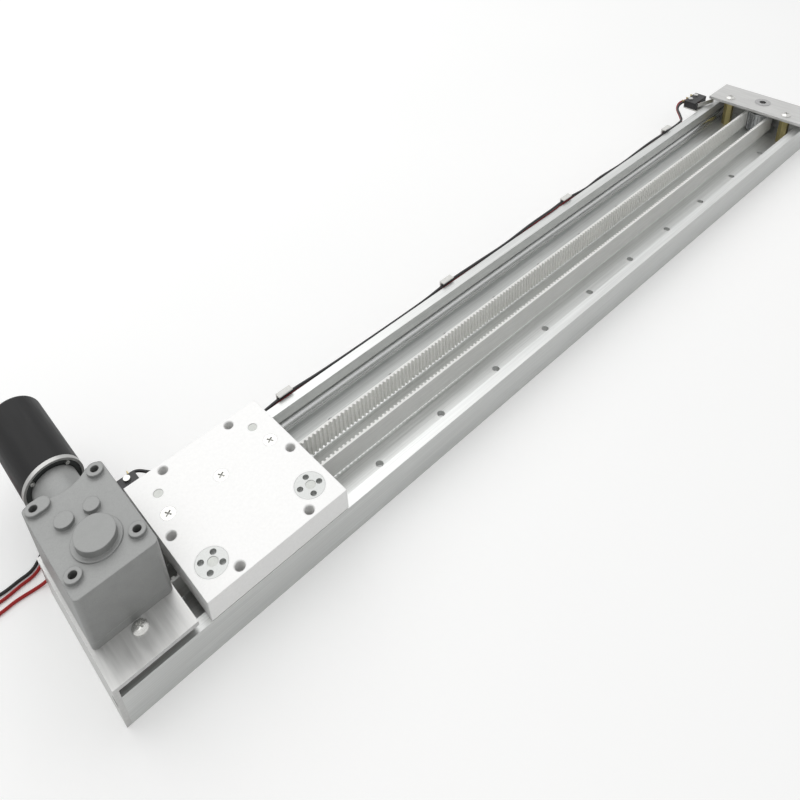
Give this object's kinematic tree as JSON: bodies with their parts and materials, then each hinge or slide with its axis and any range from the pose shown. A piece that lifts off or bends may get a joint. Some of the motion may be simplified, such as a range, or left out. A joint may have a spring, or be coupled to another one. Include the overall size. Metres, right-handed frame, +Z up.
{
  "type": "belt driven linear axis",
  "caption": "Low U-shaped rail with a flat roller carriage, moved by a toothed belt between a worm gear motor at one end and an idler pulley at the other.",
  "frame": {"origin": "where the drive pulley's axis meets the rail's underside", "axes": "+X along the rail towards the idler, +Y to the motor's side, +Z up"},
  "size_m": [0.7471, 0.1721, 0.072],
  "materials": {
    "extruded_aluminium": "brushed, clear anodised",
    "ground_steel": "ground",
    "plate_aluminium": "milled",
    "carriage_aluminium": "bead blasted, silver anodised",
    "die_casting": "as cast",
    "black_oxide": "black oxide",
    "zinc_steel": "zinc plated",
    "brass": "turned",
    "motor_black": "satin black",
    "motor_front": "phosphated",
    "black_plastic": "moulded",
    "button_plastic": "moulded",
    "white_belt": "cast polyurethane",
    "pulley_aluminium": "turned",
    "bearing_steel": "polished",
    "wire_black": "smooth insulation",
    "wire_red": "smooth insulation",
    "clip_white": "moulded"
  },
  "bodies": {
    "frame": {"rail": "extruded_aluminium", "guide_shaft_left": "ground_steel", "guide_shaft_right": "ground_steel", "motor_bracket": "plate_aluminium", "idler_bracket": "plate_aluminium", "frame_screws": "black_oxide", "standoffs": "brass", "plate_screws": "zinc_steel", "gearbox_housing": "die_casting", "gearbox_base_plate": "die_casting", "gearbox_screws": "black_oxide", "output_bearings": "ground_steel", "intermediate_pin": "ground_steel", "motor_front_ring": "zinc_steel", "motor_front_plate": "motor_front", "motor_screws": "zinc_steel", "motor_can": "motor_black", "motor_end_cap": "black_plastic", "motor_terminals": "brass", "idler_axle": "ground_steel", "belt": "white_belt", "near_switch_body": "black_plastic", "far_switch_body": "black_plastic", "switch_terminals": "brass", "switch_brackets": "zinc_steel", "switch_screws": "zinc_steel", "switch_wire_black": "wire_black", "switch_wire_red": "wire_red", "cable_clips": "clip_white", "switch_lead": "wire_red", "motor_lead_black": "wire_black", "motor_lead_red": "wire_red", "switch_lead_coil": "wire_red", "motor_black_coil": "wire_black", "motor_red_coil": "wire_red"},
    "carriage": {"carriage_plate": "carriage_aluminium", "belt_clamp": "plate_aluminium", "clamp_jaw": "plate_aluminium", "clamp_screws": "zinc_steel", "fixed_axles": "black_oxide"},
    "drive": {"output_shaft": "ground_steel", "output_gear": "brass", "drive_pulley": "pulley_aluminium"},
    "intermediate": {"intermediate_gear": "brass"},
    "rotor": {"worm_shaft": "ground_steel", "motor_armature": "motor_front"},
    "idler": {"idler_pulley": "pulley_aluminium", "idler_bearings": "ground_steel"},
    "left_near_roller": {"roller_left_near": "bearing_steel"},
    "left_far_roller": {"roller_left_far": "bearing_steel"},
    "near_bush": {"eccentric_bush_near": "bearing_steel", "eccentric_axle_near": "black_oxide"},
    "far_bush": {"eccentric_bush_far": "bearing_steel", "eccentric_axle_far": "black_oxide"},
    "right_near_roller": {"roller_right_near": "bearing_steel"},
    "right_far_roller": {"roller_right_far": "bearing_steel"},
    "near_lever": {"near_switch_lever": "zinc_steel"},
    "far_lever": {"far_switch_lever": "zinc_steel"},
    "near_button": {"near_switch_button": "button_plastic"},
    "far_button": {"far_switch_button": "button_plastic"}
  },
  "joints": [
    {"name": "carriage_slide", "type": "slide", "parent": "frame", "child": "carriage", "axis": [1, 0, 0], "range_m": [0, 0.503]},
    {"name": "drive_spin", "type": "hinge", "parent": "frame", "child": "drive", "pos_m": [0, 0, 0.0135], "axis": [0, 0, 1], "continuous": true},
    {"name": "idler_spin", "type": "hinge", "parent": "frame", "child": "idler", "pos_m": [0.636, 0, 0.0135], "axis": [0, 0, 1], "continuous": true},
    {"name": "intermediate_spin", "type": "hinge", "parent": "frame", "child": "intermediate", "pos_m": [-0.0072, 0.0178, 0.04], "axis": [0, 0, 1], "continuous": true},
    {"name": "rotor_spin", "type": "hinge", "parent": "frame", "child": "rotor", "pos_m": [0, 0.08, 0.048], "axis": [0, 1, 0], "continuous": true},
    {"name": "left_near_roller_spin", "type": "hinge", "parent": "carriage", "child": "left_near_roller", "pos_m": [0.03825, 0.025, 0.0085], "axis": [0, 0, 1], "continuous": true},
    {"name": "left_far_roller_spin", "type": "hinge", "parent": "carriage", "child": "left_far_roller", "pos_m": [0.09675, 0.025, 0.0085], "axis": [0, 0, 1], "continuous": true},
    {"name": "near_bush_turn", "type": "hinge", "parent": "carriage", "child": "near_bush", "pos_m": [0.03825, -0.025, 0.0295], "axis": [0, 0, 1], "range_deg": [0, 180]},
    {"name": "far_bush_turn", "type": "hinge", "parent": "carriage", "child": "far_bush", "pos_m": [0.09675, -0.025, 0.0295], "axis": [0, 0, 1], "range_deg": [0, 180]},
    {"name": "right_near_roller_spin", "type": "hinge", "parent": "near_bush", "child": "right_near_roller", "pos_m": [0.03885, -0.025, 0.0085], "axis": [0, 0, 1], "continuous": true},
    {"name": "right_far_roller_spin", "type": "hinge", "parent": "far_bush", "child": "right_far_roller", "pos_m": [0.09735, -0.025, 0.0085], "axis": [0, 0, 1], "continuous": true},
    {"name": "near_lever_press", "type": "hinge", "parent": "frame", "child": "near_lever", "pos_m": [0.0335, 0.043, 0.0247], "axis": [0, 0, -1], "range_deg": [0, 14], "stiffness_Nm_per_rad": 0.02},
    {"name": "far_lever_press", "type": "hinge", "parent": "frame", "child": "far_lever", "pos_m": [0.604, 0.043, 0.0247], "axis": [0, 0, 1], "range_deg": [0, 14], "stiffness_Nm_per_rad": 0.02},
    {"name": "near_button_press", "type": "slide", "parent": "frame", "child": "near_button", "axis": [0, 1, 0], "range_m": [0, 0.00131]},
    {"name": "far_button_press", "type": "slide", "parent": "frame", "child": "far_button", "axis": [0, 1, 0], "range_m": [0, 0.00131]}
  ],
  "couplings": [
    {"joint": "drive_spin", "follows": "carriage_slide", "rad_per_m": -104.72},
    {"joint": "idler_spin", "follows": "carriage_slide", "rad_per_m": -104.72},
    {"joint": "intermediate_spin", "follows": "carriage_slide", "rad_per_m": 314.16},
    {"joint": "rotor_spin", "follows": "carriage_slide", "rad_per_m": -3141.6},
    {"joint": "left_near_roller_spin", "follows": "carriage_slide", "rad_per_m": 142.86},
    {"joint": "left_far_roller_spin", "follows": "carriage_slide", "rad_per_m": 142.86},
    {"joint": "right_near_roller_spin", "follows": "carriage_slide", "rad_per_m": -142.86},
    {"joint": "right_far_roller_spin", "follows": "carriage_slide", "rad_per_m": -142.86},
    {"joint": "near_button_press", "follows": "near_lever_press", "m_per_rad": 0.00532},
    {"joint": "far_button_press", "follows": "far_lever_press", "m_per_rad": 0.00532}
  ]
}
